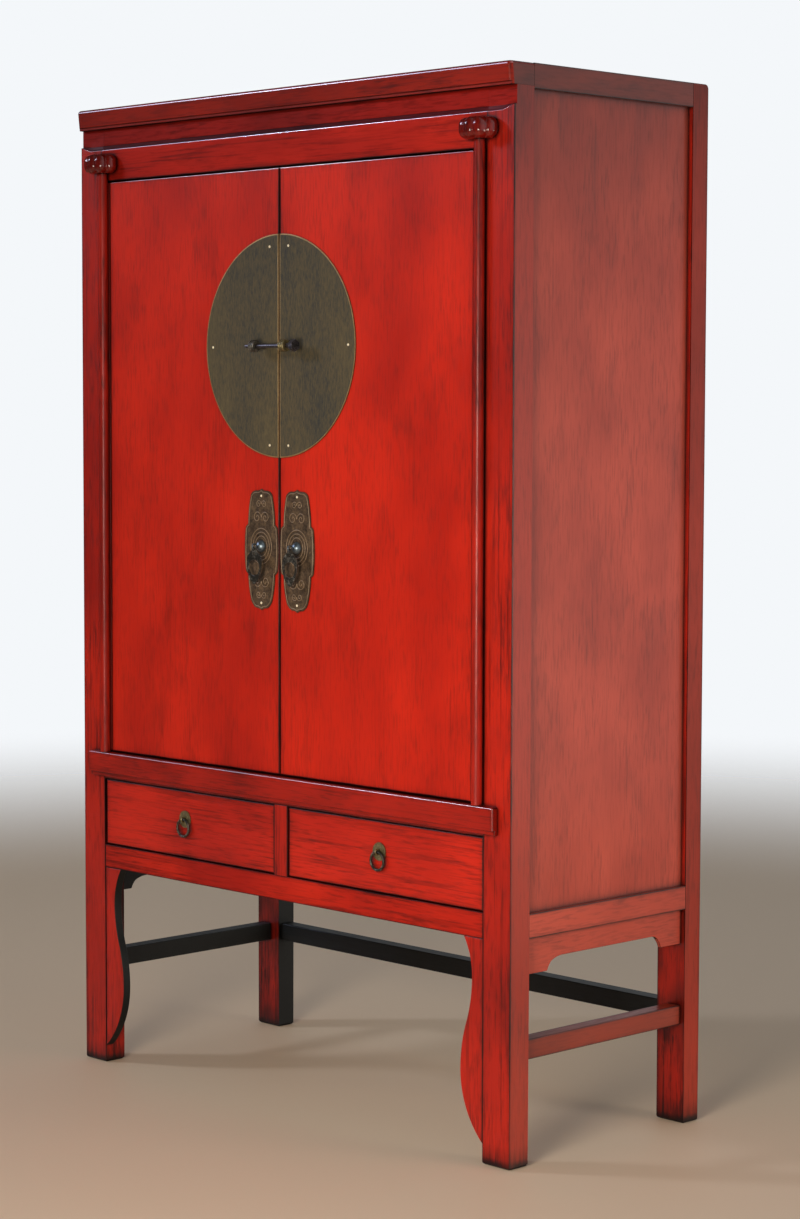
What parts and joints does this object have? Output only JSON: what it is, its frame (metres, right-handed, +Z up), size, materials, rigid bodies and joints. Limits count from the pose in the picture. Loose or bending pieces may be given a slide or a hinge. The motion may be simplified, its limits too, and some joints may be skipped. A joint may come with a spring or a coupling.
{
  "type": "chinese wedding cabinet",
  "caption": "Tall red lacquered wedding cabinet with pole-hinged doors, round metal lock plate and sliding pin, leaf pulls, ring-handled drawers and open legs with shaped wings.",
  "frame": {"origin": "on the floor, at the centre of the bounding box in X and Y", "axes": "+X to the right along the front as seen by a person facing the doors, +Y from the doors to the back, +Z up"},
  "size_m": [1.15, 0.533, 1.845],
  "materials": {
    "red_lacquer": "gloss lacquer, worn dark at edges",
    "side_lacquer": "satin lacquer",
    "dark_lacquer": "dark lacquer",
    "bare_elm": "bare",
    "plate_bronze": "dark patina",
    "aged_brass": "aged",
    "dark_iron": "smooth, dark",
    "worn_steel": "worn"
  },
  "bodies": {
    "carcass": {"front_left_post": "red_lacquer", "front_right_post": "red_lacquer", "rear_left_post": "red_lacquer", "rear_right_post": "red_lacquer", "cornice_moulding": "red_lacquer", "frieze_board": "red_lacquer", "door_head_rail": "red_lacquer", "waist_rail": "red_lacquer", "drawer_mullion": "red_lacquer", "bottom_front_rail": "red_lacquer", "left_leg_wing": "red_lacquer", "right_leg_wing": "red_lacquer", "left_side_stretcher": "red_lacquer", "right_side_stretcher": "red_lacquer", "left_side_top_rail": "side_lacquer", "right_side_top_rail": "side_lacquer", "left_side_bottom_rail": "side_lacquer", "right_side_bottom_rail": "side_lacquer", "left_side_panel": "side_lacquer", "right_side_panel": "side_lacquer", "left_side_apron": "side_lacquer", "right_side_apron": "side_lacquer", "left_pivot_block": "dark_lacquer", "right_pivot_block": "dark_lacquer", "rear_stretcher": "dark_lacquer", "rear_rails": "dark_lacquer", "back_panel": "dark_lacquer", "top_board": "dark_lacquer", "cupboard_floor": "bare_elm", "cupboard_shelf": "bare_elm", "shelf_cleats": "bare_elm", "drawer_runners": "bare_elm", "bottom_board": "bare_elm"},
    "left_door": {"left_door_leaf": "red_lacquer", "left_door_battens": "bare_elm", "left_pivot_stile": "red_lacquer", "left_lock_plate": "plate_bronze", "left_lock_staple": "worn_steel", "left_pull_plate": "plate_bronze", "left_pull_boss": "worn_steel", "left_door_nails": "aged_brass"},
    "right_door": {"right_door_leaf": "red_lacquer", "right_door_battens": "bare_elm", "right_pivot_stile": "red_lacquer", "right_lock_plate": "plate_bronze", "right_lock_staple": "aged_brass", "right_pull_plate": "plate_bronze", "right_pull_boss": "worn_steel", "right_door_nails": "aged_brass"},
    "left_pull": {"left_leaf_pull": "dark_iron"},
    "right_pull": {"right_leaf_pull": "dark_iron"},
    "lock_pin": {"lock_pin": "worn_steel"},
    "left_drawer": {"left_drawer_front": "red_lacquer", "left_drawer_box": "bare_elm", "left_ring_plate": "aged_brass"},
    "right_drawer": {"right_drawer_front": "red_lacquer", "right_drawer_box": "bare_elm", "right_ring_plate": "aged_brass"},
    "left_ring": {"left_drawer_ring": "dark_iron"},
    "right_ring": {"right_drawer_ring": "dark_iron"}
  },
  "joints": [
    {"name": "left_door_hinge", "type": "hinge", "parent": "carcass", "child": "left_door", "pos_m": [-0.501, -0.2325, 1.161], "axis": [0, 0, -1], "range_deg": [0, 180]},
    {"name": "right_door_hinge", "type": "hinge", "parent": "carcass", "child": "right_door", "pos_m": [0.501, -0.2325, 1.161], "axis": [0, 0, 1], "range_deg": [0, 180]},
    {"name": "lock_pin_slide", "type": "slide", "parent": "right_door", "child": "lock_pin", "axis": [1, 0, 0], "range_m": [0, 0.075]},
    {"name": "left_pull_swing", "type": "hinge", "parent": "left_door", "child": "left_pull", "pos_m": [-0.048, -0.247, 1.028], "axis": [-1, 0, 0], "range_deg": [-12, 150]},
    {"name": "right_pull_swing", "type": "hinge", "parent": "right_door", "child": "right_pull", "pos_m": [0.048, -0.247, 1.028], "axis": [-1, 0, 0], "range_deg": [-12, 150]},
    {"name": "left_drawer_slide", "type": "slide", "parent": "carcass", "child": "left_drawer", "axis": [0, -1, 0], "range_m": [0, 0.33]},
    {"name": "right_drawer_slide", "type": "slide", "parent": "carcass", "child": "right_drawer", "axis": [0, -1, 0], "range_m": [0, 0.33]},
    {"name": "left_ring_swing", "type": "hinge", "parent": "left_drawer", "child": "left_ring", "pos_m": [-0.2715, -0.23, 0.505], "axis": [-1, 0, 0], "range_deg": [-5, 170]},
    {"name": "right_ring_swing", "type": "hinge", "parent": "right_drawer", "child": "right_ring", "pos_m": [0.2565, -0.23, 0.505], "axis": [-1, 0, 0], "range_deg": [-5, 170]}
  ]
}
